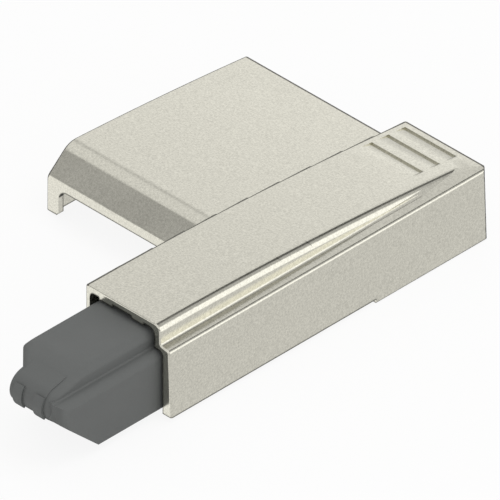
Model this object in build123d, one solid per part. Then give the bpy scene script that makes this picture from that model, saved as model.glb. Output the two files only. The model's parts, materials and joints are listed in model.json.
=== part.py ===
from build123d import *
from math import asin, atan2, cos, degrees, hypot, pi, radians, sin, sqrt, tan
import os

# Soft close damper that clips on a cabinet hinge's arm. Millimetres, +Z up, the plunger's nose towards -Y.
# Everything is drawn in the bar's own frame: X = 0 at the foot of the bar's right wall, Y = 0 at the
# bar's front face, Z = 0 at the lower edge of the wing's outer wall. The finished pieces are then shifted
# so that the origin is the middle of the whole part's footprint, on the plane that its rear foot lies on.

# Bar: the long cast box that holds the damper
bar_length = 50.4
bar_foot_width = 13.6
bar_top_inset_left = 0.12
bar_front_height = 11.85
bar_foot_lift = 0.20
foot_drop = 0.35
arc_radius = 495.0
arc_crown_y = -2.0
top_wall = 0.80
left_wall = 0.75
right_wall = 1.40
rear_wall = 1.10
floor_front_y = 32.3
floor_thickness = 0.80

# Step along the bar's right side
side_wall_top_inset = 0.40
ledge_drop = 2.90
ledge_rise = 0.28
ledge_width = 1.38
step_wall = 0.87
ledge_wall = 0.40

# Edge radii of the casting
rear_corner_radius = 1.0
top_right_radius = 0.95
top_left_radius = 0.35
ledge_edge_radius = 0.35
step_foot_radius = 0.40
rear_edge_radius = 0.25
foot_edge_radius = 0.22
front_rim_radius = 0.25
ceiling_corner_radius = 0.80
ledge_corner_radius = 0.45
wing_edge_radius = 0.35

# Ribs under the bar's top, at the opening
rib_centres = (10.31, 5.33)
rib_widths = (2.06, 1.87)
rib_proud = 0.33
rib_length = 14.0

# Grip grooves across the bar's top
groove_count = 3
groove_last_y = 49.3
groove_pitch = 2.65
groove_run = 1.6
groove_depth = 0.22
groove_right_x = -4.4
groove_length = 8.0

# Wing: the flat side plate that lies over the hinge arm
wing_reach = 25.1
wing_drop = 3.54
wing_plate = 0.80
wing_front_y = 18.74
wing_lip_bottom_z = 3.61
wing_lip_top_z = 4.65
wing_bend_y = 22.15
wing_bend_radius = 2.7
wing_lip_radius = 1.0
wing_side_wall = 1.0
wing_side_flare = 0.10
hook_width = 1.87
hook_thickness = 0.78
hook_corner_radius = 1.45
hook_tip_chamfer = 0.30

# Plunger: the moulded nose that the door pushes in
plunger_side_gap = 0.33
plunger_left_gap = 0.50
plunger_top_gap = 0.63
plunger_bottom_z = 0.72
plunger_head_end_y = 5.6
plunger_foot_end_y = 1.0
plunger_left_radius = 1.40
plunger_right_radius = 0.95
plunger_step_inset = 1.40
plunger_ledge_gap = 0.22
plunger_ledge_radius = 1.10
plunger_crease_radius = 0.25
ramp_angle = 15.0
ramp_blend_radius = 12.0
nose_radius = 2.17
nose_centre_y = -13.83
nose_drop = 2.97
underside_foot_y = -9.66
cheek_front_y = -15.45
cheek_corner_radius = 1.50
nose_pad_left = 9.35
nose_pad_width = 5.30
nose_pad_proud = 0.10
nose_pad_margin = 0.40
nose_pad_back = 0.70
nose_pad_down = 1.36
nose_rib_count = 2
nose_rib_width = 1.40
nose_rib_pitch = 3.14
nose_rib_margin = 0.74
nose_rib_proud = 0.235
nose_rib_half_angle = 38.0

# Plunger's tail, the sleeve that grips the damper cylinder
tail_end_y = 17.0
tail_side_wall = 0.62
tail_floor_wall = 0.28
tail_roof_wall = 0.55
tail_cover_gap = 0.20
tail_step_gap = 0.36
tail_corner_radius = 1.2
stop_lug_width = 2.0
stop_lug_length = 2.5
stop_lug_end_gap = 0.5
stop_lug_lift = 0.1
stroke = 10.0

# Snap-in cover under the bar
cover_front_y = 11.9
cover_bottom_z = 0.42
cover_thickness = 0.68
cover_side_gap = 0.08
cover_end_gap = 0.30
cover_slot_gap = 0.25
cover_bead_radius = 0.22
cover_bead_length = 3.0
cover_bead_inset = 3.0
cover_tongue_length = 1.2
cover_tongue_width = 6.0
cover_tongue_root = 0.5
cover_tongue_thickness = 0.40
groove_clearance = 0.05

# Damper cartridge, on one axis along Y
cylinder_outer_radius = 3.40
cylinder_wall = 0.60
cylinder_front_y = 2.0
cylinder_front_wall = 0.80
cylinder_end_y = 31.0
pocket_clearance = 0.02
rod_radius = 0.90
rod_spigot_radius = 0.60
running_clearance = 0.03
seat_clearance = 0.02

cap_plug_length = 3.6
cap_flange_thickness = 0.70
cap_pocket_radius = 1.75
retainer_thickness = 0.60
seal_thickness = 1.20
seal_lip = 0.15
seal_groove_depth = 0.66
bush_thickness = 0.80
o_ring_wire_radius = 0.24
o_ring_from_flange = 2.0
o_ring_groove_width = 0.70

piston_length = 2.0
piston_to_cap_gap = 1.0
piston_ring_width = 0.76
piston_ring_depth = 0.52
piston_ring_gap = 0.30
piston_port_radius = 0.28
piston_port_circle = 1.45
throttle_thickness = 0.30
throttle_radius = 2.20
nut_across_flats = 2.40
nut_thickness = 1.0
rod_tip_proud = 0.25

float_front_y = 10.0
float_length = 2.6
float_recess_radius = 1.90
float_recess_depth = 1.2
float_ring_from_front = 1.61
float_ring_width = 0.80
float_ring_depth = 0.50

wire_sides = 6
coil_steps_per_turn = 14
spring_wire_radius = 0.22
spring_mean_radius = 2.35
spring_turns = 8
float_spring_wire_radius = 0.17
float_spring_mean_radius = 1.45
float_spring_turns = 6
spring_seat_radius = 2.95
spring_seat_thickness = 0.55
spring_seat_lip = 0.30
spring_seat_collar_gap = 0.15
rod_boss_radius = 2.2
rod_boss_length = 1.6
rod_boss_web = 1.2
rod_socket_depth = 2.0
clip_thickness = 0.45
clip_radius = 1.60
clip_groove_depth = 0.22
clip_slot_width = 1.0

# Sizes that follow from the ones above
bar_left_x = -bar_foot_width
cavity_left_x = bar_left_x + left_wall
cavity_right_x = -right_wall
cavity_end_y = bar_length - rear_wall
step_x = -side_wall_top_inset - ledge_width
ledge_outer_z = bar_front_height - ledge_drop
ledge_inner_z = ledge_outer_z + ledge_rise
inner_step_x = step_x - step_wall
inner_ledge_z = ledge_outer_z - ledge_wall
ceiling_z = bar_front_height - top_wall
plunger_top_z = ceiling_z - plunger_top_gap
plunger_ledge_z = inner_ledge_z - plunger_ledge_gap
nose_centre_z = plunger_top_z - nose_drop
wing_left_x = bar_left_x - wing_reach
plunger_left_x = cavity_left_x + plunger_left_gap
plunger_right_x = cavity_right_x - plunger_side_gap
plunger_step_x = plunger_right_x - plunger_step_inset
nose_left_x = -nose_pad_left
nose_right_x = nose_left_x + nose_pad_width
bore_radius = cylinder_outer_radius - cylinder_wall
pocket_radius = cylinder_outer_radius + pocket_clearance
axis_x = inner_step_x - tail_step_gap - tail_side_wall - pocket_radius
cover_top_z = cover_bottom_z + cover_thickness
axis_z = cover_top_z + tail_cover_gap + tail_floor_wall + pocket_radius
tail_left_x = axis_x - pocket_radius - tail_side_wall
tail_right_x = axis_x + pocket_radius + tail_side_wall
tail_bottom_z = axis_z - pocket_radius - tail_floor_wall
tail_top_z = axis_z + pocket_radius + tail_roof_wall
cap_front_y = cylinder_end_y - cap_plug_length
cap_end_y = cylinder_end_y + cap_flange_thickness
front_seat_end_y = cap_end_y + spring_seat_thickness
boss_front_y = cavity_end_y - rod_boss_length
rear_seat_front_y = boss_front_y - spring_seat_thickness
piston_end_y = cap_front_y - piston_to_cap_gap
piston_front_y = piston_end_y - piston_length
throttle_front_y = piston_front_y - throttle_thickness
nut_front_y = throttle_front_y - nut_thickness
rod_tip_y = nut_front_y - rod_tip_proud
float_end_y = float_front_y + float_length
bore_front_y = cylinder_front_y + cylinder_front_wall
stop_lug_front_y = tail_end_y - stop_lug_end_gap - stop_lug_length

# Shift from the bar's frame to the middle of the footprint, on the plane under the foot
shift_z = foot_drop
nose_tip_y = nose_centre_y - nose_radius - nose_rib_proud
shift_x = -(wing_left_x - wing_side_flare) / 2
shift_y = -(nose_tip_y + bar_length) / 2


def arc_z(y, drop=0.0):
    """Height of the bar's cambered top, or of a surface that runs the given drop below it."""
    return bar_front_height - arc_radius + sqrt(arc_radius ** 2 - (y - arc_crown_y) ** 2) - drop


def along_camber(sketch):
    """Sweep a sketch drawn as (X, Z) at the crown along the bar's camber."""
    middle = Axis((0, arc_crown_y, bar_front_height - arc_radius), (-1, 0, 0))
    reach = degrees(asin((bar_length - arc_crown_y + 1) / arc_radius))
    return revolve(Plane.XZ.offset(-arc_crown_y) * sketch, middle, reach)


def at_corner(face, x, y):
    """The corner of a flat face that lies nearest the given place."""
    return face.vertices().sort_by_distance(Vector(x, y, 0))[0]


def along_y(sketch, y0, y1):
    """Extrude a sketch drawn as (X, Z) from y0 to y1."""
    return extrude(Plane.XZ.offset(-y1) * sketch, y1 - y0)


def along_x(sketch, x0, x1):
    """Extrude a sketch drawn as (Y, Z) from x0 to x1."""
    return extrude(Plane.YZ.offset(x0) * sketch, x1 - x0)


def box(x0, x1, y0, y1, z0, z1):
    middle = Pos((x0 + x1) / 2, (y0 + y1) / 2, (z0 + z1) / 2)
    return middle * Box(x1 - x0, y1 - y0, z1 - z0)


def disc(radius, y0, y1, x=axis_x, z=axis_z):
    """A solid cylinder along Y."""
    return along_y(Pos(x, z) * Circle(radius), y0, y1)


def ring(outer, inner, y0, y1):
    return disc(outer, y0, y1) - disc(inner, y0 - 1, y1 + 1)


def turned(points):
    """A solid of revolution about the cartridge's axis, from (radius, y) points."""
    face = make_face(Polyline([(r, y) for r, y in points], close=True))
    return Pos(axis_x, 0, axis_z) * revolve(Plane.XY * face, Axis.Y)


def under_arc(drop, y0, y1, z0):
    """Sketch (Y, Z) of everything from z0 up to the cambered surface."""
    middle = (y0 + y1) / 2
    top = ThreePointArc((y1, arc_z(y1, drop)), (middle, arc_z(middle, drop)), (y0, arc_z(y0, drop)))
    rest = Polyline([(y0, arc_z(y0, drop)), (y0, z0), (y1, z0), (y1, arc_z(y1, drop))])
    return make_face([top, rest])


def bar_upper():
    """The bar's main block: its section follows the camber, so the two top edges are round all along."""
    lean = bar_top_inset_left
    section = make_face(Polyline([
        (bar_left_x, 0), (bar_left_x + lean, bar_front_height), (step_x, bar_front_height),
        (step_x, ledge_inner_z), (step_x, -1), (bar_left_x, -1)], close=True))
    section = fillet(at_corner(section, step_x, bar_front_height), top_right_radius)
    section = fillet(at_corner(section, bar_left_x + lean, bar_front_height), top_left_radius)
    return along_camber(section)


def bar_side():
    """The right side wall with its ledge, which the cambered top cuts off near the rear."""
    inner_x = step_x - top_right_radius
    inner_z = ledge_inner_z + ledge_rise * (step_x - inner_x) / ledge_width
    section = make_face(Polyline([
        (0, -foot_drop), (-side_wall_top_inset, ledge_outer_z), (inner_x, inner_z),
        (inner_x, -foot_drop)], close=True))
    section = fillet(at_corner(section, -side_wall_top_inset, ledge_outer_z), ledge_edge_radius)
    section = fillet(at_corner(section, 0, -foot_drop), foot_edge_radius)
    return along_y(section, 0, bar_length)


def step_foot():
    """The round at the foot of the step, cut off where the cambered top comes down over it."""
    r = step_foot_radius
    slope = ledge_rise / ledge_width
    face = make_face(Polyline([
        (step_x - r, ledge_inner_z - r), (step_x + r, ledge_inner_z - slope * r - r),
        (step_x + r, ledge_inner_z - slope * r), (step_x, ledge_inner_z), (step_x, ledge_inner_z + r),
        (step_x - r, ledge_inner_z + r)], close=True))
    face = fillet(at_corner(face, step_x, ledge_inner_z), r * (1 - slope))
    half = top_right_radius * (1 - cos(pi / 4))
    knee = (step_x - half, bar_front_height - half)
    roof = make_face(Polyline([
        (knee[0] - 1, knee[1]), knee, (knee[0] + 2, knee[1] - 2), (knee[0] + 2, 0), (knee[0] - 1, 0)],
        close=True))
    return along_y(face, 0, bar_length) & along_camber(roof)


def bar_outer():
    """The bar's outside: stepped section, cambered top, rounded rear corners and rear edge."""
    profile = under_arc(0, 0, bar_length, -foot_drop)
    profile = fillet(at_corner(profile, bar_length, arc_z(bar_length)), rear_edge_radius)
    block = bar_upper() + bar_side() + step_foot()
    block = block & along_x(profile, bar_left_x - 1, 1)
    block = block & corner_post(bar_left_x, 1, bar_left_x, 0)
    block = block & corner_post(bar_left_x - 1, 0, 0, side_wall_top_inset)
    block = block - box(bar_left_x - 1, 1, -1, floor_front_y, -1, bar_foot_lift)
    front = block.faces().sort_by(Axis.Y)[0]
    rim = [edge for edge in front.edges() if edge.center().Z > bar_foot_lift + front_rim_radius]
    return fillet(rim, front_rim_radius)


def corner_post(left, right, rounded_x, inset):
    """Everything between two side planes, with one rear corner round; it leans left by the inset."""
    plan = make_face(Polyline([(left, 0), (right, 0), (right, bar_length), (left, bar_length)], close=True))
    plan = fillet(at_corner(plan, rounded_x, bar_length), rear_corner_radius)
    rise = bar_front_height + 1 + foot_drop
    lean = Vector(-inset * rise / (ledge_outer_z + foot_drop), 0, rise)
    return extrude(Pos(0, 0, -foot_drop) * plan, lean.length, dir=lean.normalized())


def cavity():
    """The room for the damper: open at the front, and below as far as the cast floor."""
    upper = make_face(Polyline([
        (inner_step_x, -1), (inner_step_x, ceiling_z), (cavity_left_x, ceiling_z), (cavity_left_x, -1)],
        close=True))
    upper = fillet(at_corner(upper, inner_step_x, ceiling_z), ceiling_corner_radius)
    upper = fillet(at_corner(upper, cavity_left_x, ceiling_z), ceiling_corner_radius)
    lower = make_face(Polyline([
        (cavity_right_x, -2), (cavity_right_x, inner_ledge_z), (inner_step_x - 1, inner_ledge_z),
        (inner_step_x - 1, -2)], close=True))
    lower = fillet(at_corner(lower, cavity_right_x, inner_ledge_z), ledge_corner_radius)
    room = along_camber(upper) + along_y(lower, -1, cavity_end_y)
    room = room & box(bar_left_x, 1, -1, cavity_end_y, -2, bar_front_height)
    floor = box(bar_left_x, 1, floor_front_y, cavity_end_y + 1, -4, floor_thickness)
    return room - floor


def ceiling_ribs():
    """Two shallow ribs along the opening's ceiling, which die out where the ceiling comes down."""
    ribs = []
    bottom = ceiling_z - rib_proud
    for centre, width in zip(rib_centres, rib_widths):
        low = box(-centre - width / 2, -centre + width / 2, 0, rib_length, bottom, bar_front_height)
        roof = along_x(under_arc(top_wall / 2, 0, rib_length, 0), -centre - width, -centre + width)
        ribs.append(low & roof)
    return ribs


def grip_grooves():
    """Wedge cuts, deepest at the wall nearer the rear."""
    cuts = []
    for i in range(groove_count):
        y = groove_last_y - i * groove_pitch
        wedge = make_face(Polyline([
            (y, arc_z(y) + 1), (y, arc_z(y) - groove_depth),
            (y - groove_run, arc_z(y - groove_run)), (y - groove_run, arc_z(y) + 1)], close=True))
        cuts.append(along_x(wedge, groove_right_x - groove_length, groove_right_x))
    return cuts


def wing_outer():
    """Sketch (Y, Z) of the wing's outside: lip, bend and cambered top, filled down to the base plane."""
    bend_z = arc_z(wing_bend_y, wing_drop)
    middle = (wing_bend_y + bar_length) / 2
    rear_z = arc_z(bar_length, wing_drop)
    top = ThreePointArc((wing_bend_y, bend_z), (middle, arc_z(middle, wing_drop)), (bar_length, rear_z))
    rest = Polyline([
        (bar_length, rear_z), (bar_length, 0), (wing_front_y, 0), (wing_front_y, wing_lip_top_z),
        (wing_bend_y, bend_z)])
    face = make_face([top, rest])
    face = fillet(at_corner(face, wing_bend_y, bend_z), wing_bend_radius)
    face = fillet(at_corner(face, wing_front_y, wing_lip_top_z), wing_lip_radius)
    return fillet(at_corner(face, bar_length, rear_z), rear_edge_radius)


def wing_room():
    """Sketch (Y, Z) of the channel under the wing, one plate thickness inside its outside."""
    slope = atan2(arc_z(wing_bend_y, wing_drop) - wing_lip_top_z, wing_bend_y - wing_front_y)
    lip_z = wing_lip_top_z - wing_plate * tan((pi / 2 - slope) / 2)
    bend_y = wing_bend_y + wing_plate * tan(slope / 2)
    under = wing_drop + wing_plate
    end = bar_length + 1
    middle = (bend_y + end) / 2
    bend_z = arc_z(bend_y, under)
    end_z = arc_z(end, under)
    lip_y = wing_front_y + wing_plate
    top = ThreePointArc((bend_y, bend_z), (middle, arc_z(middle, under)), (end, end_z))
    rest = Polyline([(end, end_z), (end, -1), (lip_y, -1), (lip_y, lip_z), (bend_y, bend_z)])
    return fillet(at_corner(make_face([top, rest]), bend_y, bend_z), wing_bend_radius - wing_plate)


def wing():
    """Wing plate with its bent front lip, and its outer side wall, which flares a little downwards."""
    left = wing_left_x - wing_side_flare
    height = bar_front_height
    block = along_x(wing_outer(), left - 1, bar_left_x + left_wall)
    lean = wing_side_flare * height / arc_z(wing_bend_y, wing_drop)
    flare = make_face(Polyline([(left, 0), (0, 0), (0, height), (left + lean, height)], close=True))
    block = block & along_y(flare, wing_front_y - 1, bar_length + 1)
    outer = block.faces().sort_by(Axis.X)[0]
    rim = [edge for edge in outer.edges() if edge.center().Z > wing_lip_top_z - wing_lip_radius]
    rim = [edge for edge in rim if abs((edge % 0.5).Z) < cos(radians(10))]
    block = fillet(rim, wing_edge_radius)
    room = along_x(wing_room(), wing_left_x + wing_side_wall, bar_left_x + left_wall + 1)
    mouth = box(wing_left_x + hook_width, 0, wing_front_y - 1, wing_front_y + wing_plate + 1,
                -1, wing_lip_bottom_z)
    return block - room - mouth


def hook_round():
    """The fill between hook and lip that makes their inner corner round."""
    r = hook_corner_radius
    right = wing_left_x + hook_width
    corner = (right + r, wing_lip_bottom_z - r)
    bow = ThreePointArc(
        (right, corner[1]), (corner[0] - r * cos(pi / 4), corner[1] + r * sin(pi / 4)),
        (corner[0], wing_lip_bottom_z))
    rim = Polyline([
        (corner[0], wing_lip_bottom_z), (corner[0], wing_lip_bottom_z + wing_plate / 2),
        (right - r, wing_lip_bottom_z + wing_plate / 2), (right - r, corner[1]), (right, corner[1])])
    return along_y(make_face([bow, rim]), wing_front_y, wing_front_y + hook_thickness)


def hook_tip_cut():
    """Small chamfer at the hook's inner tip."""
    right = wing_left_x + hook_width
    c = hook_tip_chamfer
    face = make_face(Polyline([
        (right - c, -1), (right - c, 0), (right, c), (right + 1, c), (right + 1, -1)], close=True))
    return along_y(face, wing_front_y - 1, wing_front_y + wing_plate + 1)


def rod_boss():
    """Boss inside the rear wall with the socket for the piston rod."""
    root = cavity_end_y + rear_wall / 4
    boss = disc(rod_boss_radius, boss_front_y, root)
    half = rod_boss_web / 2
    web = box(axis_x - half, axis_x + half, boss_front_y, root, floor_thickness / 4, axis_z)
    return boss + web


def rod_socket():
    return disc(rod_radius + seat_clearance, boss_front_y - 1, boss_front_y + rod_socket_depth)


def cover_beads(radius, grow):
    """Short half-round beads on the cover's two edges, or the recesses for them in the walls."""
    z = cover_bottom_z + cover_thickness / 2
    left = cavity_left_x + cover_side_gap
    right = cavity_right_x - cover_side_gap
    starts = (cover_front_y + cover_bead_inset, floor_front_y - cover_bead_inset - cover_bead_length)
    beads = []
    for y in starts:
        for x in (left, right):
            beads.append(disc(radius, y - grow, y + cover_bead_length + grow, x, z))
    return beads


def housing():
    """The zinc casting: bar, wing and hook in one piece."""
    body = bar_outer() + (wing() + hook_round() - hook_tip_cut())
    body = body - cavity()
    for rib in ceiling_ribs():
        body = body + rib
    body = body + rod_boss() - rod_socket()
    for cut in grip_grooves():
        body = body - cut
    for bead in cover_beads(cover_bead_radius + groove_clearance, groove_clearance):
        body = body - bead
    return body


def base_cover():
    """The snap-in strip that closes the bar's underside behind the plunger's foot."""
    left = cavity_left_x + cover_side_gap
    right = cavity_right_x - cover_side_gap
    end = floor_front_y - cover_end_gap
    plate = box(left, right, cover_front_y, end, cover_bottom_z, cover_top_z)
    tongue_bottom = floor_thickness + seat_clearance
    half = cover_tongue_width / 2
    tip = end + cover_tongue_length + cover_end_gap
    tongue = box(axis_x - half, axis_x + half, end - cover_tongue_root, tip,
                 tongue_bottom, tongue_bottom + cover_tongue_thickness)
    half = stop_lug_width / 2 + cover_slot_gap
    slot = box(axis_x - half, axis_x + half, stop_lug_front_y - groove_clearance,
               stop_lug_front_y + stop_lug_length + stroke + cover_slot_gap, -1, cover_top_z + 1)
    plate = plate + tongue - slot
    for bead in cover_beads(cover_bead_radius, 0):
        plate = plate + bead
    return plate


def underside_slope(roll_radius):
    """Angle and length of the line from the underside's foot that touches the nose roll."""
    span = hypot(nose_centre_y - underside_foot_y, nose_centre_z - plunger_bottom_z)
    heading = atan2(nose_centre_z - plunger_bottom_z, nose_centre_y - underside_foot_y)
    return heading + asin(roll_radius / span), sqrt(span ** 2 - roll_radius ** 2)


def beak_profile(roll_radius):
    """Sketch (Y, Z) of the plunger's head: underside, nose roll, ramp and top."""
    angle, reach = underside_slope(roll_radius)
    low = (underside_foot_y + reach * cos(angle), plunger_bottom_z + reach * sin(angle))
    lean = radians(90 - ramp_angle)
    high = (nose_centre_y - roll_radius * cos(lean), nose_centre_z + roll_radius * sin(lean))
    run = (plunger_top_z - high[1]) / tan(radians(ramp_angle))
    front = (nose_centre_y - roll_radius, nose_centre_z)
    roll = ThreePointArc(low, front, high)
    rest = Polyline([
        high, (high[0] + run, plunger_top_z), (plunger_head_end_y, plunger_top_z),
        (plunger_head_end_y, plunger_bottom_z), (underside_foot_y, plunger_bottom_z), low])
    face = make_face([roll, rest])
    return fillet(at_corner(face, high[0] + run, plunger_top_z), ramp_blend_radius)


def plunger_head():
    """The upper body: its left front corner is cut off at 45 degrees, and both long edges are round."""
    cut = nose_left_x + nose_centre_y - plunger_left_x
    front = nose_tip_y - 1
    plan = make_face(Polyline([
        (plunger_left_x, cut), (plunger_left_x + cut - front, front), (0, front),
        (0, plunger_head_end_y), (plunger_left_x, plunger_head_end_y)], close=True))
    head = along_x(beak_profile(nose_radius - nose_pad_proud), plunger_left_x, plunger_step_x)
    head = head & extrude(plan, plunger_top_z + 1)
    upper = [edge for edge in head.edges() if edge.center().Z > nose_centre_z + nose_radius / 2]
    upper = [edge for edge in upper if edge.center().Y < plunger_head_end_y - 0.1]
    right = [edge for edge in upper if abs(edge.center().X - plunger_step_x) < 0.01]
    front_right = [edge for edge in head.edges() if abs(edge.center().X - plunger_step_x) < 0.01]
    roll = [edge for edge in front_right if edge.center().Y < nose_centre_y - nose_radius / 2
            and edge.geom_type == GeomType.CIRCLE]
    head = fillet(right + roll, plunger_right_radius)
    upper = [edge for edge in head.edges() if edge.center().Z > nose_centre_z + nose_radius / 2]
    left = [edge for edge in upper if on_left_rim(edge)]
    return fillet(left, plunger_left_radius)


def on_left_rim(edge):
    """Whether an edge of the head's top lies on its left side or on the 45 degree cut."""
    ends = (edge @ 0, edge @ 1)
    along_side = all(abs(end.X - plunger_left_x) < 0.01 for end in ends)
    along_cut = all(abs(end.X + end.Y - nose_left_x - nose_centre_y) < 0.01 for end in ends)
    flat = abs(ends[0].Z - ends[1].Z) < nose_radius
    return (along_side or along_cut) and flat


def nose_core():
    """The nose roll and what is behind it, where the 45 degree cut would have taken it away."""
    right_x = plunger_step_x - plunger_right_radius
    shape = along_x(beak_profile(nose_radius - nose_pad_proud), nose_left_x, right_x)
    return shape & box(nose_left_x, 0, nose_tip_y - 1, nose_centre_y, 0, plunger_top_z)


def cheek():
    """The lower right side of the head, which stands out beyond the step with a soft shoulder."""
    angle, _ = underside_slope(nose_radius - nose_pad_proud)
    rise = (underside_foot_y - cheek_front_y) * -tan(angle)
    side = make_face(Polyline([
        (underside_foot_y, plunger_bottom_z), (cheek_front_y, plunger_bottom_z + rise),
        (cheek_front_y, plunger_top_z), (plunger_head_end_y, plunger_top_z),
        (plunger_head_end_y, plunger_bottom_z)], close=True))
    r = plunger_crease_radius
    inner_x = plunger_step_x - plunger_right_radius
    section = make_face(Polyline([
        (inner_x, 0), (plunger_right_x, 0), (plunger_right_x, plunger_ledge_z),
        (plunger_step_x, plunger_ledge_z), (plunger_step_x, plunger_ledge_z + r),
        (inner_x, plunger_ledge_z + r)], close=True))
    section = fillet(at_corner(section, plunger_right_x, plunger_ledge_z), plunger_ledge_radius)
    section = fillet(at_corner(section, plunger_step_x, plunger_ledge_z), r * 0.99)
    plan = make_face(Polyline([
        (inner_x, cheek_front_y), (plunger_right_x, cheek_front_y), (plunger_right_x, plunger_head_end_y),
        (inner_x, plunger_head_end_y)], close=True))
    plan = fillet(at_corner(plan, plunger_right_x, cheek_front_y), cheek_corner_radius)
    block = along_y(section, cheek_front_y, plunger_head_end_y)
    return block & along_x(side, inner_x, plunger_right_x) & extrude(plan, plunger_top_z)


def disc_x(radius, x0, x1):
    """A solid cylinder along X about the nose roll's centre."""
    return along_x(Pos(nose_centre_y, nose_centre_z) * Circle(radius), x0, x1)


def nose_pad():
    """The slightly proud contact pad over the end of the ramp and the roll."""
    left = nose_left_x + nose_pad_margin
    shell = along_x(beak_profile(nose_radius), left, nose_right_x)
    back = nose_centre_y + nose_radius * nose_pad_back
    low = nose_centre_z - nose_radius * nose_pad_down
    return shell & box(left, nose_right_x, nose_tip_y - 1, back, low, plunger_top_z)


def nose_ribs():
    """Two raised bands round the roll, which take the door's push."""
    ribs = []
    reach = nose_radius + 2 * nose_rib_proud
    half = reach * tan(radians(nose_rib_half_angle))
    wedge = make_face(Polyline([
        (nose_centre_y, nose_centre_z), (nose_centre_y - reach, nose_centre_z + half),
        (nose_centre_y - reach, nose_centre_z - half)], close=True))
    for i in range(nose_rib_count):
        x0 = nose_left_x + nose_rib_margin + i * nose_rib_pitch
        band = disc_x(nose_radius + nose_rib_proud, x0, x0 + nose_rib_width)
        ribs.append(band & along_x(wedge, x0, x0 + nose_rib_width))
    return ribs


def tail():
    """Sleeve behind the head that grips the cylinder, with the stop lug under it."""
    section = make_face(Polyline([
        (tail_left_x, tail_bottom_z), (tail_right_x, tail_bottom_z),
        (tail_right_x, tail_top_z), (tail_left_x, tail_top_z)], close=True))
    section = fillet(section.vertices(), tail_corner_radius)
    half = stop_lug_width / 2
    lug = box(axis_x - half, axis_x + half, stop_lug_front_y, stop_lug_front_y + stop_lug_length,
              cover_bottom_z + stop_lug_lift, tail_bottom_z + tail_floor_wall)
    return along_y(section, 0, tail_end_y) + lug


def plunger():
    """The moulded plunger: beak, cheek, nose pad, sleeve."""
    body = plunger_head() + nose_core() + cheek() + nose_pad()
    for rib in nose_ribs():
        body = body + rib
    foot = box(plunger_left_x - 1, 0, plunger_foot_end_y, plunger_head_end_y + 1, 0, tail_bottom_z)
    body = body - foot
    return body + tail() - disc(pocket_radius, cylinder_front_y, tail_end_y + 1)


def damper_cylinder():
    return disc(cylinder_outer_radius, cylinder_front_y, cylinder_end_y) \
        - disc(bore_radius, bore_front_y, cylinder_end_y + 1)


def cylinder_end_cap():
    """Cap with flange, ring groove and the pocket for bush, seal and retainer."""
    plug = bore_radius - seat_clearance
    groove_middle = cylinder_end_y - o_ring_from_flange
    a = groove_middle - o_ring_groove_width / 2
    b = groove_middle + o_ring_groove_width / 2
    floor = bore_radius - 2 * o_ring_wire_radius - 2 * seat_clearance
    pocket_end = cap_front_y + retainer_thickness + seal_thickness + bush_thickness
    hole = rod_radius + running_clearance
    return turned([
        (cap_pocket_radius, cap_front_y), (plug, cap_front_y), (plug, a), (floor, a), (floor, b), (plug, b),
        (plug, cylinder_end_y), (cylinder_outer_radius, cylinder_end_y), (cylinder_outer_radius, cap_end_y),
        (hole, cap_end_y), (hole, pocket_end), (cap_pocket_radius, pocket_end)])


def cap_o_ring():
    centre = bore_radius - seat_clearance - o_ring_wire_radius
    wire = Pos(centre, cylinder_end_y - o_ring_from_flange) * RegularPolygon(o_ring_wire_radius, wire_sides)
    return Pos(axis_x, 0, axis_z) * revolve(Plane.XY * wire, Axis.Y)


def seal_retainer():
    return ring(cap_pocket_radius - seat_clearance, rod_radius + 2 * running_clearance,
                cap_front_y, cap_front_y + retainer_thickness)


def rod_seal():
    """Lip seal: a U section open towards the oil."""
    y0 = cap_front_y + retainer_thickness
    y1 = y0 + seal_thickness
    outer = cap_pocket_radius - seat_clearance
    inner = rod_radius + running_clearance / 3
    middle = (outer + inner) / 2
    return turned([
        (inner, y0), (inner + seal_lip, y0), (middle, y0 + seal_groove_depth), (outer - seal_lip, y0),
        (outer, y0), (outer, y1), (inner, y1)])


def rod_bush():
    y0 = cap_front_y + retainer_thickness + seal_thickness
    outer = cap_pocket_radius - seat_clearance
    return ring(outer, rod_radius + running_clearance / 2, y0, y0 + bush_thickness)


def piston_rod():
    """Turned rod: spigot for the piston in front, clip groove and anchored end at the rear."""
    clip_y = rear_seat_front_y - clip_thickness
    groove = rod_radius - clip_groove_depth
    end = boss_front_y + rod_socket_depth
    return turned([
        (0, rod_tip_y), (rod_spigot_radius, rod_tip_y), (rod_spigot_radius, piston_end_y),
        (rod_radius, piston_end_y), (rod_radius, clip_y), (groove, clip_y),
        (groove, rear_seat_front_y), (rod_radius, rear_seat_front_y), (rod_radius, end), (0, end)])


def piston():
    """Piston with its ring groove and two oil ports."""
    outer = bore_radius - 2 * running_clearance
    floor = outer - piston_ring_depth
    middle = (piston_front_y + piston_end_y) / 2
    a = middle - piston_ring_width / 2 - seat_clearance
    b = middle + piston_ring_width / 2 + seat_clearance
    hole = rod_spigot_radius + seat_clearance
    body = turned([
        (hole, piston_front_y), (outer, piston_front_y), (outer, a), (floor, a), (floor, b), (outer, b),
        (outer, piston_end_y), (hole, piston_end_y)])
    for side in (-1, 1):
        x = axis_x + side * piston_port_circle
        body = body - disc(piston_port_radius, piston_front_y - 1, piston_end_y + 1, x, axis_z)
    return body


def piston_ring():
    """Split ring in the piston's groove."""
    outer = bore_radius - running_clearance
    inner = bore_radius - 2 * running_clearance - piston_ring_depth + seat_clearance
    middle = (piston_front_y + piston_end_y) / 2
    band = ring(outer, inner, middle - piston_ring_width / 2, middle + piston_ring_width / 2)
    half = piston_ring_gap / 2
    return band - box(axis_x - half, axis_x + half, middle - piston_ring_width, middle + piston_ring_width,
                      axis_z, axis_z + 2 * outer)


def throttle_disc():
    """Thin disc that covers one port and leaves the other a small notch."""
    plate = ring(throttle_radius, rod_spigot_radius + seat_clearance, throttle_front_y, piston_front_y)
    notch_x = axis_x + throttle_radius
    return plate - disc(piston_port_radius, throttle_front_y - 1, piston_front_y + 1, notch_x)


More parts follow.
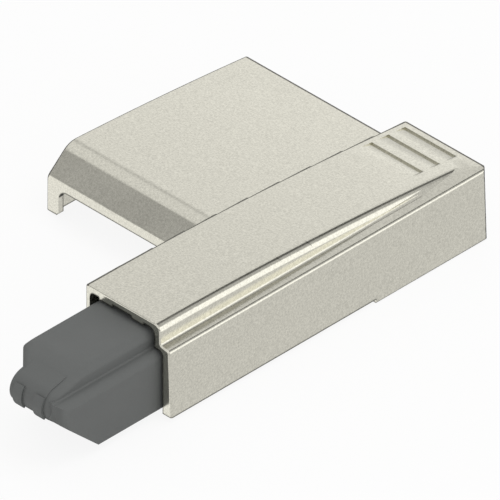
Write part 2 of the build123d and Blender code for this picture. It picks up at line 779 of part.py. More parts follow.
def piston_nut():
    side = nut_across_flats / 2 / cos(pi / 6)
    hexagon = along_y(Pos(axis_x, axis_z) * RegularPolygon(side, 6), nut_front_y, throttle_front_y)
    return hexagon - disc(rod_spigot_radius + seat_clearance, nut_front_y - 1, throttle_front_y + 1)


def compensator_piston():
    """Floating piston that gives way to the rod's volume."""
    outer = bore_radius - 2 * running_clearance
    floor = outer - float_ring_depth
    middle = float_front_y + float_ring_from_front
    a = middle - float_ring_width / 2
    b = middle + float_ring_width / 2
    return turned([
        (0, float_front_y + float_recess_depth), (float_recess_radius, float_front_y + float_recess_depth),
        (float_recess_radius, float_front_y), (outer, float_front_y), (outer, a), (floor, a), (floor, b),
        (outer, b), (outer, float_end_y), (0, float_end_y)])


def compensator_seal():
    outer = bore_radius - running_clearance
    inner = bore_radius - 2 * running_clearance - float_ring_depth + seat_clearance
    middle = float_front_y + float_ring_from_front
    half = float_ring_width / 2 - seat_clearance
    return ring(outer, inner, middle - half, middle + half)


def coil(mean_radius, wire_radius, turns, y0, y1):
    """A compression spring along Y that just fits between two seats, bent in short straight runs."""
    length = y1 - y0 - 2 * wire_radius - 2 * seat_clearance
    path = Helix(length / turns, length, mean_radius)
    steps = turns * coil_steps_per_turn
    sections = []
    for i in range(steps + 1):
        place = path @ (i / steps)
        outward = Vector(place.X, place.Y, 0)
        lay = Plane(origin=place, x_dir=outward, z_dir=path % (i / steps))
        sections.append(lay * RegularPolygon(wire_radius, wire_sides))
    spring = loft(sections, ruled=True)
    return Pos(axis_x, y0 + wire_radius + seat_clearance, axis_z) * Rot(-90, 0, 0) * spring


def return_spring():
    return coil(spring_mean_radius, spring_wire_radius, spring_turns, front_seat_end_y, rear_seat_front_y)


def compensator_spring():
    return coil(float_spring_mean_radius, float_spring_wire_radius, float_spring_turns,
                bore_front_y, float_front_y + float_recess_depth)


def spring_seat(y0, y1, lip_y):
    """Flanged washer: its collar, between the flange y0..y1 and lip_y, centres the spring."""
    hole = rod_radius + 3 * running_clearance
    collar = spring_mean_radius - spring_wire_radius - spring_seat_collar_gap
    back = y1 if lip_y < y0 else y0
    face = y0 + y1 - back
    return turned([
        (hole, back), (spring_seat_radius, back), (spring_seat_radius, face), (collar, face),
        (collar, lip_y), (hole, lip_y)])


def front_spring_seat():
    return spring_seat(cap_end_y, front_seat_end_y, front_seat_end_y + spring_seat_lip)


def rear_spring_seat():
    """Its collar is hollow, because the rod's clip lies in it."""
    seat = spring_seat(rear_seat_front_y, boss_front_y, rear_seat_front_y - spring_seat_lip)
    return seat - disc(clip_radius + running_clearance, rear_seat_front_y - 1, rear_seat_front_y)


def rod_clip():
    """Horseshoe clip in the rod's groove, in front of the rear spring seat."""
    y0 = rear_seat_front_y - clip_thickness + seat_clearance
    y1 = rear_seat_front_y - seat_clearance
    plate = ring(clip_radius, rod_radius - clip_groove_depth + seat_clearance, y0, y1)
    mouth = box(axis_x - clip_slot_width / 2, axis_x + clip_slot_width / 2, y0 - 1, y1 + 1,
                axis_z - 2 * clip_radius, axis_z)
    return plate - mouth


NODES = {
    "housing": housing,
    "base_cover": base_cover,
    "piston_rod": piston_rod,
    "rod_clip": rod_clip,
    "rear_spring_seat": rear_spring_seat,
    "piston": piston,
    "piston_ring": piston_ring,
    "throttle_disc": throttle_disc,
    "piston_nut": piston_nut,
    "plunger": plunger,
    "damper_cylinder": damper_cylinder,
    "cylinder_end_cap": cylinder_end_cap,
    "cap_o_ring": cap_o_ring,
    "rod_seal": rod_seal,
    "rod_bush": rod_bush,
    "seal_retainer": seal_retainer,
    "front_spring_seat": front_spring_seat,
    "compensator_piston": compensator_piston,
    "compensator_seal": compensator_seal,
    "compensator_spring": compensator_spring,
    "return_spring": return_spring,
}

os.makedirs("parts", exist_ok=True)
for name, make in NODES.items():
    solid = Pos(shift_x, shift_y, shift_z) * make()
    export_step(solid, f"parts/{name}.step")
    size = solid.bounding_box().size
    print(f"{name}: {solid.volume:.2f} mm3, {size.X:.2f} x {size.Y:.2f} x {size.Z:.2f} mm")
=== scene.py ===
# %% [markdown]
# # A soft close damper for a cabinet hinge
# The part is a cast, nickel plated bar with a side wing that sits over a hinge arm. A grey moulded plunger
# stands out of the bar, and the closing door pushes it in against a small oil damper inside.
# The exact solids come from the CAD frame. Blender adds what CAD leaves out: the light, the finish of each
# material, even shading over the rounds, painted shade along some rims of the plating and round wire springs.

import json
import math

import bmesh
import bpy
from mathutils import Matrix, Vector


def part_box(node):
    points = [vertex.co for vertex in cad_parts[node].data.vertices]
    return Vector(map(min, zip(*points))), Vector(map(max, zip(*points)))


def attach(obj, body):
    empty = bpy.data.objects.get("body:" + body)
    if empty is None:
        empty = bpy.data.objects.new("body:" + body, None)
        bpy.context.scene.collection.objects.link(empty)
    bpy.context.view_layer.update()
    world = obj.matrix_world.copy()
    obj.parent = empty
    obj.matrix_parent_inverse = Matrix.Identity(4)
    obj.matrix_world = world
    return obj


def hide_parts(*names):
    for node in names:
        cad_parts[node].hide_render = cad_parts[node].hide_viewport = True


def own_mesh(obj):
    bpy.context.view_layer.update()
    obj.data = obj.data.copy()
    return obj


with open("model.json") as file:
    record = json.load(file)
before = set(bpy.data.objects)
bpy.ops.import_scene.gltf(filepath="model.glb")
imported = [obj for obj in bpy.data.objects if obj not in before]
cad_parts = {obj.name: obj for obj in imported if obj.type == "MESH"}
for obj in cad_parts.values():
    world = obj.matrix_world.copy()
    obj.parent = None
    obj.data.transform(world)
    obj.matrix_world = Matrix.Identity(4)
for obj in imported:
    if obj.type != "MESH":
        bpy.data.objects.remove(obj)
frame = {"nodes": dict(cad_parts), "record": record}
bpy.context.view_layer.update()
MM = 0.001

# %% [markdown]
# ## The camera
# The picture is drawn without perspective, from 45 degrees to the right and 35.26 degrees above, so that the
# three axes look equally long. A very long lens far away comes within about a pixel of such a view, and
# unlike a true parallel camera it can be moved round the part without losing its framing.

# %% Camera at the picture's viewing angle
LENS = 1600.0
SENSOR = 36.0
PICTURE_WIDTH = 55.78 * MM
LOOK_AT = Vector((7.86, 6.76, 5.78)) * MM

camera_data = bpy.data.cameras.new("camera")
camera_data.lens = LENS
camera_data.sensor_width = SENSOR
camera_data.clip_end = 50.0
camera = bpy.data.objects.new("camera", camera_data)
bpy.context.scene.collection.objects.link(camera)
bpy.context.scene.camera = camera
towards_viewer = Vector((1.0, -1.0, 1.0)).normalized()
distance = PICTURE_WIDTH * LENS / SENSOR
camera.location = LOOK_AT + towards_viewer * distance
camera.rotation_euler = (-towards_viewer).to_track_quat("-Z", "Y").to_euler()
print("camera distance in m:", round(distance, 3))

# %% [markdown]
# ## Node helpers
# Each finish is a small graph of shader nodes. Two short helpers keep the cells readable: one adds a node
# and sets its sockets, the other joins two sockets.

# %% Helpers for shader graphs
def add(tree, kind, at=(0, 0), **sockets):
    """Add a node and set its input sockets by name, with _ for a space."""
    node = tree.nodes.new(kind)
    node.location = at
    for name, value in sockets.items():
        node.inputs[name.replace("_", " ")].default_value = value
    return node


def maths(tree, operation, a, b=None, c=None):
    """A Math node fed by numbers or by sockets."""
    node = tree.nodes.new("ShaderNodeMath")
    node.operation = operation
    for socket, value in zip(node.inputs, (a, b, c)):
        if value is None:
            continue
        if isinstance(value, bpy.types.NodeSocket):
            tree.links.new(value, socket)
        else:
            socket.default_value = value
    return node.outputs[0]


def srgb(r, g, b):
    """A colour given as 0 to 255 screen values, as the linear colour that shaders work in."""
    def linear(v):
        v = v / 255
        return v / 12.92 if v <= 0.04045 else ((v + 0.055) / 1.055) ** 2.4
    return (linear(r), linear(g), linear(b), 1.0)


print("mid grey in linear light:", round(srgb(128, 128, 128)[0], 3))

# %% [markdown]
# ## Light
# The casting is plated, so most of what it shows is its surroundings. The part lies in a tent that is painted
# by direction, as a photographer would hang it: an even pale cloth, a grey card to the front left that the
# wing's slope shows, a dark one overhead that draws a line along every rounded upper edge, a bright one to
# the back right, and a dark cloth far behind the part that closes the outlines. Each card is a round patch
# of the sky with a soft edge. What the camera sees straight on is plain white.

# %% The tent's levels by height, and its cards
TENT_TINT = (1.0, 0.995, 0.985, 1.0)
# How high a direction points, from -1 straight down to 1 straight up, and the brightness there.
TENT_LEVELS = ((-1.0, 0.69), (-0.14, 0.69), (-0.10, 0.10), (0.08, 0.10), (0.12, 1.00), (0.42, 0.96),
               (0.50, 0.86), (0.58, 0.745), (0.66, 0.74), (1.0, 0.85))
# A card's name, the direction of its middle, its radius and soft edge in degrees, and its brightness.
CARDS = (
    ("front floor", (-0.62, -0.62, -0.48), 32.0, 14.0, 0.98),
    ("back cloth", (-0.577, 0.577, -0.577), 40.0, 8.0, 0.08),
    ("back right", (0.80, 0.58, 0.05), 23.0, 7.0, 1.30),
    ("grey back", (0.42, 0.577, 0.70), 13.0, 6.0, 0.50),
    ("front left", (-0.60, -0.62, 0.50), 13.0, 3.0, 0.39),
    ("overhead", (-0.03, 0.64, 0.765), 10.0, 5.0, 0.10),
    ("left strip", (-0.577, 0.42, 0.70), 4.5, 3.0, 0.60),
)
print("levels:", len(TENT_LEVELS), "cards:", len(CARDS))

# %% Paint the tent on the world
world = bpy.data.worlds.new("tent")
bpy.context.scene.world = world
world.use_nodes = True
sky = world.node_tree
sky.nodes.clear()
direction = add(sky, "ShaderNodeTexCoord").outputs["Generated"]


def card(towards, radius, edge):
    """How much of a round card is seen in a direction of the sky: 1 inside it, 0 outside."""
    dot = sky.nodes.new("ShaderNodeVectorMath")
    dot.operation = "DOT_PRODUCT"
    sky.links.new(direction, dot.inputs[0])
    dot.inputs[1].default_value = Vector(towards).normalized()
    fade = add(sky, "ShaderNodeMapRange", From_Min=math.cos(math.radians(radius + edge)),
               From_Max=math.cos(math.radians(radius)))
    fade.interpolation_type = "SMOOTHSTEP"
    sky.links.new(dot.outputs["Value"], fade.inputs["Value"])
    return fade.outputs["Result"]


height = sky.nodes.new("ShaderNodeSeparateXYZ")
sky.links.new(direction, height.inputs[0])
ramp = sky.nodes.new("ShaderNodeFloatCurve")
curve = ramp.mapping.curves[0]
ramp.mapping.use_clip = False
for place, (z, level) in enumerate(TENT_LEVELS):
    if place < 2:
        curve.points[place].location = (z, level)
    else:
        curve.points.new(z, level)
for point in curve.points:
    point.handle_type = "VECTOR"
ramp.mapping.update()
sky.links.new(height.outputs["Z"], ramp.inputs["Value"])
level = ramp.outputs["Value"]
for name, towards, radius, edge, brightness in CARDS:
    blend = sky.nodes.new("ShaderNodeMix")
    sky.links.new(card(towards, radius, edge), blend.inputs["Factor"])
    sky.links.new(level, blend.inputs[2])
    blend.inputs[3].default_value = brightness
    level = blend.outputs[0]
    print("card", name, "level", brightness)
tent = add(sky, "ShaderNodeBackground", Color=TENT_TINT)
sky.links.new(level, tent.inputs["Strength"])
paper = add(sky, "ShaderNodeBackground", Color=(1.0, 1.0, 1.0, 1.0), Strength=1.0)
seen = add(sky, "ShaderNodeLightPath")
chosen = sky.nodes.new("ShaderNodeMixShader")
sky.links.new(seen.outputs["Is Camera Ray"], chosen.inputs["Fac"])
sky.links.new(tent.outputs[0], chosen.inputs[1])
sky.links.new(paper.outputs[0], chosen.inputs[2])
out = sky.nodes.new("ShaderNodeOutputWorld")
sky.links.new(chosen.outputs[0], out.inputs["Surface"])

# %% One soft lamp from above
LAMP_POWER = 0.55
LAMP_SIZE = 0.30
LAMP_PLACE = Vector((0.16, 0.10, 0.42))

lamp_data = bpy.data.lights.new("soft_lamp", "AREA")
lamp_data.energy = LAMP_POWER
lamp_data.size = LAMP_SIZE
lamp = bpy.data.objects.new("soft_lamp", lamp_data)
bpy.context.scene.collection.objects.link(lamp)
lamp.location = LAMP_PLACE
lamp.rotation_euler = (LOOK_AT - LAMP_PLACE).to_track_quat("-Z", "Y").to_euler()
lamp.visible_glossy = False
print("lamp at", [round(v, 2) for v in LAMP_PLACE])

# %% [markdown]
# ## The floor
# The part lies on a plain white sheet. The sheet is an ordinary diffuse surface, so it keeps the part's
# soft shadow and lights it from below. For rays that come straight from the camera most of it is a white
# glow, so that the background is as white as the picture's and the shadow stays faint. The plating doesn't
# mirror the sheet, but the tent's lower half in its place.

# %% A white sheet under the part
FLOOR_HALF = 0.6
FLOOR_DROP = 0.02 * MM
FLOOR_WHITE = 0.89
FLOOR_GREY = (0.86, 0.86, 0.86, 1.0)

sheet_mesh = bpy.data.meshes.new("floor_sheet")
corners = [(x * FLOOR_HALF, y * FLOOR_HALF, -FLOOR_DROP) for x, y in ((-1, -1), (1, -1), (1, 1), (-1, 1))]
sheet_mesh.from_pydata(corners, [], [(0, 1, 2, 3)])
floor = bpy.data.objects.new("floor_sheet", sheet_mesh)
bpy.context.scene.collection.objects.link(floor)
floor.visible_glossy = False

floor_finish = bpy.data.materials.new("white_sheet")
floor_finish.use_nodes = True
tree = floor_finish.node_tree
tree.nodes.clear()
body = add(tree, "ShaderNodeBsdfDiffuse", Color=FLOOR_GREY)
glow = add(tree, "ShaderNodeEmission", Color=(1.0, 1.0, 1.0, 1.0), Strength=1.0)
seen = add(tree, "ShaderNodeLightPath")
whitened = tree.nodes.new("ShaderNodeMixShader")
tree.links.new(maths(tree, "MULTIPLY", seen.outputs["Is Camera Ray"], FLOOR_WHITE), whitened.inputs["Fac"])
tree.links.new(body.outputs[0], whitened.inputs[1])
tree.links.new(glow.outputs[0], whitened.inputs[2])
out = tree.nodes.new("ShaderNodeOutputMaterial")
tree.links.new(whitened.outputs[0], out.inputs["Surface"])
sheet_mesh.materials.append(floor_finish)
print("floor sheet in m:", 2 * FLOOR_HALF)

# %% [markdown]
# ## Painted shade on the rims of the plating
# The base colour is darkened along some rims of the casting: painted shade that reads as fine dark lines. The
# rims that turn to a left, back or lower face get it, which parts the bar's top from the wing and closes the
# outline. Three signs find them: a Bevel node, whose softened normal leans over an edge that is near; a face
# of a round that looks that way itself; and narrow bands along the long upper edges, whose own rounding is
# too small to show.

# %% Bands of painted shade along the long upper rims
RIM_BAND = 0.38 * MM
EDGE_SLACK = 0.02 * MM
BAR_WIDTH = 13.4 * MM
FAR = 1.0
casting_low, casting_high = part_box("housing")
casting_points = [corner.co for corner in frame["nodes"]["housing"].data.vertices]
bar_left = casting_high.x - BAR_WIDTH
# Boxes on the casting where the rims get painted shade.
# Lowest and highest x, then lowest and highest y: the bar's left edge, the wing's outer edge, the back edge.
PAINTED_SHADE_BANDS = (
    (bar_left - EDGE_SLACK, bar_left + RIM_BAND, -FAR, FAR),
    (-FAR, casting_low.x + RIM_BAND, -FAR, FAR),
    (-FAR, FAR, casting_high.y - RIM_BAND, FAR),
)
print("bar's left edge and the back edge in mm:", round(bar_left / MM, 2), round(casting_high.y / MM, 2))

# %% Paint shade on the rims
RIM_REACH = 0.40 * MM
RIM_SAMPLES = 8
RIM_STARTS = 0.16
RIM_FULL = 0.30
FACES_UP = 0.3


def parts_of(tree, vector):
    """The X, Y and Z outputs of a vector socket."""
    parts = tree.nodes.new("ShaderNodeSeparateXYZ")
    tree.links.new(vector, parts.inputs[0])
    return parts.outputs


def painted_rim_shade(tree, level):
    """Painted shade: 1 on open faces, and level along a rim that turns to a left, back or lower face."""
    soft = add(tree, "ShaderNodeBevel", (-1400, 700), Radius=RIM_REACH)
    soft.samples = RIM_SAMPLES
    own = tree.nodes.new("ShaderNodeNewGeometry").outputs["Normal"]
    lean = tree.nodes.new("ShaderNodeVectorMath")
    lean.operation = "SUBTRACT"
    tree.links.new(soft.outputs["Normal"], lean.inputs[0])
    tree.links.new(own, lean.inputs[1])
    leans, faces = parts_of(tree, lean.outputs[0]), parts_of(tree, own)
    signs = []
    for axis, sign in (("X", -1.0), ("Y", 1.0), ("Z", -1.0)):
        across = maths(tree, "SUBTRACT", 1.0, maths(tree, "MULTIPLY", faces[axis], faces[axis]))
        turned = maths(tree, "MULTIPLY", leans[axis], sign)
        signs.append(maths(tree, "MULTIPLY", turned, across))
    left = maths(tree, "MULTIPLY", faces["X"], -1.0)
    down = maths(tree, "MULTIPLY", faces["Z"], -1.0)
    for one, other in ((left, faces["Z"]), (faces["Y"], faces["Z"]), (faces["X"], down)):
        signs.append(maths(tree, "MINIMUM", one, other))
    spot = parts_of(tree, add(tree, "ShaderNodeTexCoord", (-1800, 900)).outputs["Object"])
    for x_low, x_high, y_low, y_high in PAINTED_SHADE_BANDS:
        inside = maths(tree, "GREATER_THAN", faces["Z"], FACES_UP)
        for axis, low, high in (("X", x_low, x_high), ("Y", y_low, y_high)):
            inside = maths(tree, "MULTIPLY", inside, maths(tree, "GREATER_THAN", spot[axis], low))
            inside = maths(tree, "MULTIPLY", inside, maths(tree, "LESS_THAN", spot[axis], high))
        signs.append(inside)
    most = signs[0]
    for sign in signs[1:]:
        most = maths(tree, "MAXIMUM", most, sign)
    # The strongest sign sets how far the painted shade darkens the base colour.
    fade = add(tree, "ShaderNodeMapRange", (-900, 700), From_Min=RIM_STARTS, From_Max=RIM_FULL,
               To_Min=1.0, To_Max=level)
    tree.links.new(most, fade.inputs["Value"])
    return fade.outputs["Result"]


print("rims reach in mm:", round(RIM_REACH / MM, 2))

# %% [markdown]
# ## A helper for the finishes
# Plating, moulded plastic, rubber and steel are all one Principled shader with different numbers. What
# makes them look real is what varies: a fine change of colour, of roughness and of height, each from a
# noise on Object coordinates, so that it sits still on the part in every view.

# %% Build a finish from noise
FINE_SPREAD = (0.25, 0.75)
BROAD_SPREAD = (0.3, 0.7)


def finish(name, colour, roughness, metallic=0.0, grain=0.25 * MM, mottle=0.03, bump=0.0, cloud=4.0 * MM,
           uneven=0.04, stretch=(1.0, 1.0, 1.0), specular=0.5, painted_shade_level=None):
    """A material whose colour, roughness and height follow a fine grain and a broad cloud, and painted rim
    shade.
    """
    material = bpy.data.materials.new(name)
    material.use_nodes = True
    tree = material.node_tree
    shader = tree.nodes["Principled BSDF"]
    shader.inputs["Metallic"].default_value = metallic
    shader.inputs["Specular IOR Level"].default_value = specular
    place = add(tree, "ShaderNodeTexCoord", (-1400, 0)).outputs["Object"]
    turned = add(tree, "ShaderNodeMapping", (-1200, 0), Scale=stretch)
    tree.links.new(place, turned.inputs["Vector"])
    fine = add(tree, "ShaderNodeTexNoise", (-1000, 200), Scale=1.0 / grain, Detail=3.0, Roughness=0.6)
    broad = add(tree, "ShaderNodeTexNoise", (-1000, -200), Scale=1.0 / cloud, Detail=2.0)
    tree.links.new(turned.outputs[0], fine.inputs["Vector"])
    tree.links.new(place, broad.inputs["Vector"])
    shade = add(tree, "ShaderNodeMapRange", (-700, 200), From_Min=FINE_SPREAD[0], From_Max=FINE_SPREAD[1],
                To_Min=1.0 - mottle, To_Max=1.0 + mottle)
    tree.links.new(fine.outputs["Fac"], shade.inputs["Value"])
    tint = add(tree, "ShaderNodeVectorMath", (-450, 200))
    tint.operation = "SCALE"
    tint.inputs[0].default_value = colour[:3]
    light = shade.outputs["Result"]
    # Painted shade: the base colour is darkened along the rims.
    if painted_shade_level is not None:
        light = maths(tree, "MULTIPLY", light, painted_rim_shade(tree, painted_shade_level))
    tree.links.new(light, tint.inputs["Scale"])
    tree.links.new(tint.outputs[0], shader.inputs["Base Color"])
    dull = add(tree, "ShaderNodeMapRange", (-700, -200), From_Min=BROAD_SPREAD[0], From_Max=BROAD_SPREAD[1],
               To_Min=roughness - uneven, To_Max=roughness + uneven)
    tree.links.new(broad.outputs["Fac"], dull.inputs["Value"])
    tree.links.new(dull.outputs["Result"], shader.inputs["Roughness"])
    if bump:
        relief = add(tree, "ShaderNodeBump", (-450, -400), Strength=1.0, Distance=bump)
        tree.links.new(fine.outputs["Fac"], relief.inputs["Height"])
        tree.links.new(relief.outputs[0], shader.inputs["Normal"])
    return material


# %% [markdown]
# ## The finishes
# The casting is satin nickel plate: a metal, warm grey, with a fine orange-peel grain that shows as a
# speckle. The plunger is dark grey moulded acetal with a fine eroded texture. Inside are black and white
# mouldings, ground steel with marks round the shaft, spring wire and rubber seals.

# %% Nickel, plastics, steel and rubber
# The nickel's rims get painted shade, down to 0.22 of its colour.
nickel = finish("satin_nickel", srgb(226, 224, 212), 0.18, metallic=1.0, grain=0.24 * MM, mottle=0.19,
                bump=0.0015 * MM, cloud=6.0 * MM, uneven=0.03, painted_shade_level=0.22)
grey_acetal = finish("grey_moulding", (0.124, 0.130, 0.128, 1.0), 0.55, grain=0.15 * MM, mottle=0.05,
                     bump=0.003 * MM, cloud=3.0 * MM, uneven=0.05, specular=0.35)
black_acetal = finish("black_moulding", (0.022, 0.022, 0.024, 1.0), 0.42, grain=0.15 * MM, mottle=0.08,
                      bump=0.002 * MM)
white_acetal = finish("white_moulding", srgb(225, 223, 216), 0.45, grain=0.2 * MM, mottle=0.02,
                      bump=0.002 * MM)
ground_steel = finish("ground_steel", srgb(196, 197, 200), 0.22, metallic=1.0, grain=0.12 * MM, mottle=0.06,
                      stretch=(0.1, 1.0, 0.1), bump=0.001 * MM)
spring_wire = finish("spring_wire", srgb(168, 169, 172), 0.30, metallic=1.0, grain=0.1 * MM, mottle=0.08,
                     stretch=(0.3, 1.0, 0.3))
seal_rubber = finish("seal_rubber", (0.018, 0.018, 0.019, 1.0), 0.62, grain=0.1 * MM, mottle=0.1,
                     bump=0.002 * MM)

FINISHES = {
    "nickel_casting": nickel,
    "grey_plastic": grey_acetal,
    "black_plastic": black_acetal,
    "white_plastic": white_acetal,
    "steel": ground_steel,
    "spring_steel": spring_wire,
    "seal_rubber": seal_rubber,
}
for sub in frame["record"]["subparts"]:
    node = frame["nodes"][sub["node"]]
    for slot in node.material_slots:
        slot.material = FINISHES[sub["material_slot"]]

# %% [markdown]
# ## Smooth shading on the casting
# The casting's flats meet its rounds without an edge, so a mirror-like finish shows every error of the
# normals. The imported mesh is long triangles. A copy of it is merged, and each corner gets a new normal: a
# flat keeps its own up to its rim, and in a round the faces at a point are averaged by area and angle, so
# that slivers count for nothing.

# %% Find the flats, and what meets at a point without a sharp edge
FLAT_ANGLE = math.radians(0.35)
FLAT_WIDTH = 0.5 * MM


def flat_faces(net):
    """The faces that belong to a flat wider than FLAT_WIDTH."""
    flats, seen_faces = set(), set()
    for first in net.faces:
        if first in seen_faces:
            continue
        cluster, waiting = [], [first]
        seen_faces.add(first)
        while waiting:
            face = waiting.pop()
            cluster.append(face)
            for edge in face.edges:
                for other in edge.link_faces:
                    if other not in seen_faces and face.normal.angle(other.normal, math.pi) < FLAT_ANGLE:
                        seen_faces.add(other)
                        waiting.append(other)
        area = sum(face.calc_area() for face in cluster)
        reach = max(edge.calc_length() for face in cluster for edge in face.edges)
        if area / reach > FLAT_WIDTH:
            flats.update(cluster)
    return flats


def corner_groups(vertex, sharp):
    """The faces round a point, in groups that meet without a sharp edge."""
    left = set(vertex.link_faces)
    while left:
        group, waiting = [], [left.pop()]
        while waiting:
            face = waiting.pop()
            group.append(face)
            for edge in face.edges:
                if vertex not in edge.verts:
                    continue
                for other in edge.link_faces:
                    if other in left and face.normal.angle(other.normal, math.pi) < sharp:
                        left.remove(other)
                        waiting.append(other)
        yield group


print("narrowest flat in mm:", round(FLAT_WIDTH / MM, 2))

# %% [markdown]
# ## The big round
# The round along the bar's upper right edge follows the camber of the bar's top, and its triangles are so
# long and uneven that no average gives a clean highlight. Its radius and the camber are known, so the copy is
# divided further there, and the new points and all normals on it are worked out from those two sizes.

# %% Where the big round lies
STEP_INSET = 1.78 * MM
BIG_ROUND = 0.95 * MM
CAMBER = 495.0 * MM
CAMBER_CROWN = 2.0 * MM
ON_ROUND = 0.02 * MM
SAME_SIDE = 0.3
round_x = casting_high.x - STEP_INSET - BIG_ROUND
bar_front = min(point.y for point in casting_points if point.x > round_x)
crown_y = bar_front - CAMBER_CROWN
crown_z = casting_high.z + CAMBER_CROWN ** 2 / (2 * CAMBER)


def round_axis(y):
    """The height of the big round's axis at a place along the bar."""
    return crown_z - CAMBER + math.sqrt(CAMBER ** 2 - (y - crown_y) ** 2) - BIG_ROUND


def big_round_normal(place):
    """The exact normal of the bar's big upper right round at a point of it, or None off the round."""
    out, up = place.x - round_x, place.z - round_axis(place.y)
    if min(out, up) < -ON_ROUND / 2 or abs(math.hypot(out, up) - BIG_ROUND) > ON_ROUND:
        return None
    return Vector((out, up * (place.y - crown_y) / CAMBER, up)).normalized()


def on_big_round(points, facing):
    """Whether a face with these points and this normal lies on the big round."""
    own = [big_round_normal(point) for point in points]
    return None not in own and facing.dot(own[0]) > SAME_SIDE


print("bar's front in mm:", round(bar_front / MM, 3), "axis there:", round(round_axis(bar_front) / MM, 3))

# %% Divide the big round
ROUND_STEP = math.radians(10.0)
ROUND_SWEEPS = 8


def refine_round(net):
    """Halve the big round's edges that turn by more than ROUND_STEP, in a few sweeps."""
    def turn(vertex):
        return math.asin(min(max((vertex.co.x - round_x) / BIG_ROUND, 0.0), 1.0))
    for sweep in range(ROUND_SWEEPS):
        net.normal_update()
        inside = {face for face in net.faces if on_big_round([v.co for v in face.verts], face.normal)}
        wide = [edge for edge in net.edges if edge.link_faces and inside.issuperset(edge.link_faces)
                and abs(turn(edge.verts[0]) - turn(edge.verts[1])) > ROUND_STEP]
        if not wide:
            break
        for edge in wide:
            vertex = bmesh.utils.edge_split(edge, edge.verts[0], 0.5)[1]
            axis = Vector((round_x, vertex.co.y, round_axis(vertex.co.y)))
            vertex.co = axis + (vertex.co - axis).normalized() * BIG_ROUND
        bmesh.ops.triangulate(net, faces=[face for face in net.faces if len(face.verts) > 3])
        print("sweep", sweep, "edges divided:", len(wide))
    net.normal_update()
    net.verts.index_update()
    net.faces.index_update()


# %% A copy of a node with even normals
MERGE = 0.001 * MM


def smooth_copy(node, name, material, sharp, has_big_round=False):
    """A merged copy of a CAD node whose normals follow its flats and rounds."""
    net = bmesh.new()
    net.from_mesh(frame["nodes"][node].data)
    bmesh.ops.remove_doubles(net, verts=net.verts, dist=MERGE)
    if has_big_round:
        refine_round(net)
    flats = flat_faces(net)
    corner_of = {}
    for vertex in net.verts:
        for group in corner_groups(vertex, sharp):
            calm = [face for face in group if face in flats]
            total = Vector((0.0, 0.0, 0.0))
            for face in calm or group:
                angle = next(loop.calc_angle() for loop in face.loops if loop.vert == vertex)
                total += face.normal * face.calc_area() * angle
            for face in group:
                corner_of[(face.index, vertex.index)] = total.normalized()
    mesh = bpy.data.meshes.new(name)
    net.to_mesh(mesh)
    net.free()
    normals = []
    for polygon in mesh.polygons:
        polygon.use_smooth = True
        points = [mesh.vertices[v].co for v in polygon.vertices]
        on_round = has_big_round and on_big_round(points, polygon.normal)
        for v, point in zip(polygon.vertices, points):
            normals.append(big_round_normal(point) if on_round else corner_of[(polygon.index, v)])
    mesh.normals_split_custom_set(normals)
    mesh.materials.clear()
    mesh.materials.append(material)
    piece = bpy.data.objects.new(name, mesh)
    bpy.context.scene.collection.objects.link(piece)
    print(name, "points:", len(mesh.vertices), "faces:", len(mesh.polygons), "in flats:", len(flats))
    return piece


# %% The casting, bar and wing in one
CAST_SHARP = math.radians(33.0)
casting = smooth_copy("housing", "casting", nickel, CAST_SHARP, has_big_round=True)
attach(casting, "housing")
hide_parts("housing")

# %% [markdown]
# ## The plunger's moulded body
# The moulding gets the same kind of copy. Its creases are softer than the casting's, so a wider angle still
# counts as smooth.

# %% The plunger, with soft creases
MOULDED_SHARP = math.radians(50.0)
moulding = smooth_copy("plunger", "plunger_moulding", grey_acetal, MOULDED_SHARP)
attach(moulding, "plunger")
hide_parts("plunger")

# %% [markdown]
# ## Geometry Nodes helpers
# A spring follows a rule, so it is made by a node tree with named inputs. The inputs are set by the socket's
# identifier, and the result is turned into a plain mesh.

# %% Build and apply a node tree
def new_tree(name, inputs):
    """An empty geometry tree with named inputs; returns the tree and its input node."""
    tree = bpy.data.node_groups.new(name, "GeometryNodeTree")
    for label, kind in inputs:
        tree.interface.new_socket(label, in_out="INPUT", socket_type=kind)
    tree.interface.new_socket("Geometry", in_out="OUTPUT", socket_type="NodeSocketGeometry")
    return tree, tree.nodes.new("NodeGroupInput")


def end_tree(tree, geometry, material):
    """Close a tree with Realize Instances and Set Material."""
    real = tree.nodes.new("GeometryNodeRealizeInstances")
    tree.links.new(geometry, real.inputs[0])
    coated = add(tree, "GeometryNodeSetMaterial", Material=material)
    tree.links.new(real.outputs[0], coated.inputs["Geometry"])
    out = tree.nodes.new("NodeGroupOutput")
    tree.links.new(coated.outputs[0], out.inputs[0])


def grow(name, tree, values):
    """Run a tree on an empty mesh and return the result as a plain mesh object."""
    holder = bpy.data.objects.new(name + "_rule", bpy.data.meshes.new(name + "_rule"))
    bpy.context.scene.collection.objects.link(holder)
    modifier = holder.modifiers.new("rule", "NODES")
    modifier.node_group = tree
    for item in tree.interface.items_tree:
        if item.in_out == "INPUT":
            modifier[item.identifier] = values[item.name]
    evaluated = holder.evaluated_get(bpy.context.evaluated_depsgraph_get())
    mesh = bpy.data.meshes.new_from_object(evaluated)
    holder.modifiers.clear()
    bpy.data.objects.remove(holder)
    piece = bpy.data.objects.new(name, mesh)
    bpy.context.scene.collection.objects.link(piece)
    print(name, "faces:", len(mesh.polygons))
    return piece


# %% [markdown]
# ## The springs
# A compression spring is a helix whose first and last turn lie flat against the coil beside them. The
# height is the middle one of three straight lines over the turn count: close pitch, open pitch, close
# pitch. A circle swept along that curve is the wire. The CAD springs are plain helices of the same size.

# %% The rule of a spring
CLOSE_PITCH = 2.04
WIRE_SIDES = 10


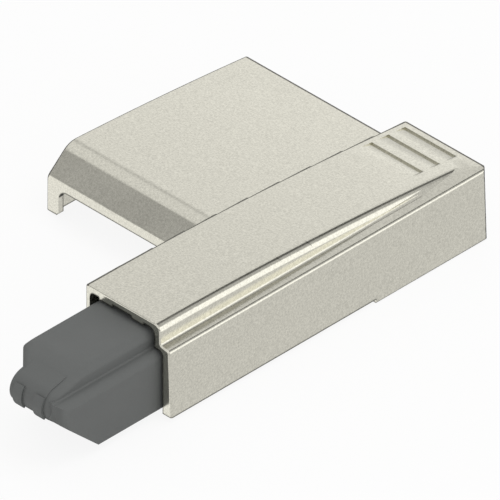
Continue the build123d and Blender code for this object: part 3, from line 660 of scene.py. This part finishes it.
def spring_tree(material):
    """A tree that sweeps a wire along a helix with closed ends. CLOSE_PITCH is in wire radii."""
    tree, given = new_tree("coil_spring", [
        ("Turns", "NodeSocketFloat"), ("Mean Radius", "NodeSocketFloat"), ("Wire Radius", "NodeSocketFloat"),
        ("Length", "NodeSocketFloat"), ("Axis X", "NodeSocketFloat"), ("Axis Z", "NodeSocketFloat"),
        ("Start Y", "NodeSocketFloat"), ("Points", "NodeSocketInt")])
    value = given.outputs
    count = maths(tree, "SUBTRACT", value["Points"], 1)
    line = add(tree, "GeometryNodeCurvePrimitiveLine")
    even = add(tree, "GeometryNodeResampleCurve")
    tree.links.new(line.outputs[0], even.inputs["Curve"])
    tree.links.new(value["Points"], even.inputs["Count"])
    index = tree.nodes.new("GeometryNodeInputIndex").outputs[0]
    turn = maths(tree, "MULTIPLY", maths(tree, "DIVIDE", index, count), value["Turns"])
    angle = maths(tree, "MULTIPLY", turn, 2 * math.pi)
    wire = maths(tree, "MULTIPLY", value["Wire Radius"], CLOSE_PITCH)
    room = maths(tree, "SUBTRACT", value["Length"], wire)
    open_pitch = maths(tree, "DIVIDE", maths(tree, "SUBTRACT", room, maths(tree, "MULTIPLY", wire, 2)),
                       maths(tree, "SUBTRACT", value["Turns"], 2))
    first = maths(tree, "MULTIPLY", turn, wire)
    middle = maths(tree, "MULTIPLY_ADD", maths(tree, "SUBTRACT", turn, 1), open_pitch, wire)
    left = maths(tree, "SUBTRACT", value["Turns"], turn)
    last = maths(tree, "SUBTRACT", room, maths(tree, "MULTIPLY", left, wire))
    height = maths(tree, "MINIMUM", last, maths(tree, "MAXIMUM", first, middle))
    along = maths(tree, "ADD", height, maths(tree, "ADD", value["Start Y"], value["Wire Radius"]))
    x = maths(tree, "MULTIPLY_ADD", maths(tree, "COSINE", angle), value["Mean Radius"], value["Axis X"])
    z = maths(tree, "MULTIPLY_ADD", maths(tree, "SINE", angle), value["Mean Radius"], value["Axis Z"])
    place = tree.nodes.new("ShaderNodeCombineXYZ")
    for socket, source in zip(place.inputs, (x, along, z)):
        tree.links.new(source, socket)
    moved = tree.nodes.new("GeometryNodeSetPosition")
    tree.links.new(even.outputs[0], moved.inputs["Geometry"])
    tree.links.new(place.outputs[0], moved.inputs["Position"])
    circle = add(tree, "GeometryNodeCurvePrimitiveCircle", Resolution=WIRE_SIDES)
    tree.links.new(value["Wire Radius"], circle.inputs["Radius"])
    swept = add(tree, "GeometryNodeCurveToMesh", Fill_Caps=True)
    tree.links.new(moved.outputs[0], swept.inputs["Curve"])
    tree.links.new(circle.outputs["Curve"], swept.inputs["Profile Curve"])
    end_tree(tree, swept.outputs[0], material)
    return tree


# %% Make a spring that shortens
coil_rule = spring_tree(spring_wire)
POINTS_PER_TURN = 40


def make_spring(node, turns, wire_radius, body_name):
    """A round wire spring in the box of its CAD node, which shortens as its joint moves."""
    low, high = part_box(node)
    spring = grow(node + "_wire", coil_rule, {
        "Turns": turns, "Wire Radius": wire_radius, "Mean Radius": (high.x - low.x) / 2 - wire_radius,
        "Length": high.y - low.y, "Axis X": (low.x + high.x) / 2, "Axis Z": (low.z + high.z) / 2,
        "Start Y": low.y, "Points": int(turns * POINTS_PER_TURN) + 1})
    for polygon in spring.data.polygons:
        polygon.use_smooth = True
    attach(spring, body_name)
    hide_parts(node)
    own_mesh(spring)


# %% The return spring
RETURN_TURNS = 8.0
RETURN_WIRE = 0.22 * MM
make_spring("return_spring", RETURN_TURNS, RETURN_WIRE, "housing")

# %% The compensator's spring
COMPENSATOR_TURNS = 6.0
COMPENSATOR_WIRE = 0.17 * MM
make_spring("compensator_spring", COMPENSATOR_TURNS, COMPENSATOR_WIRE, "plunger")

# %% [markdown]
# ## The colour view
# The dressed part has to stay the size of the CAD part. The colour view is set to Standard.

# %% Colour view and the end
bpy.context.scene.view_settings.view_transform = "Standard"
bpy.context.view_layer.update()
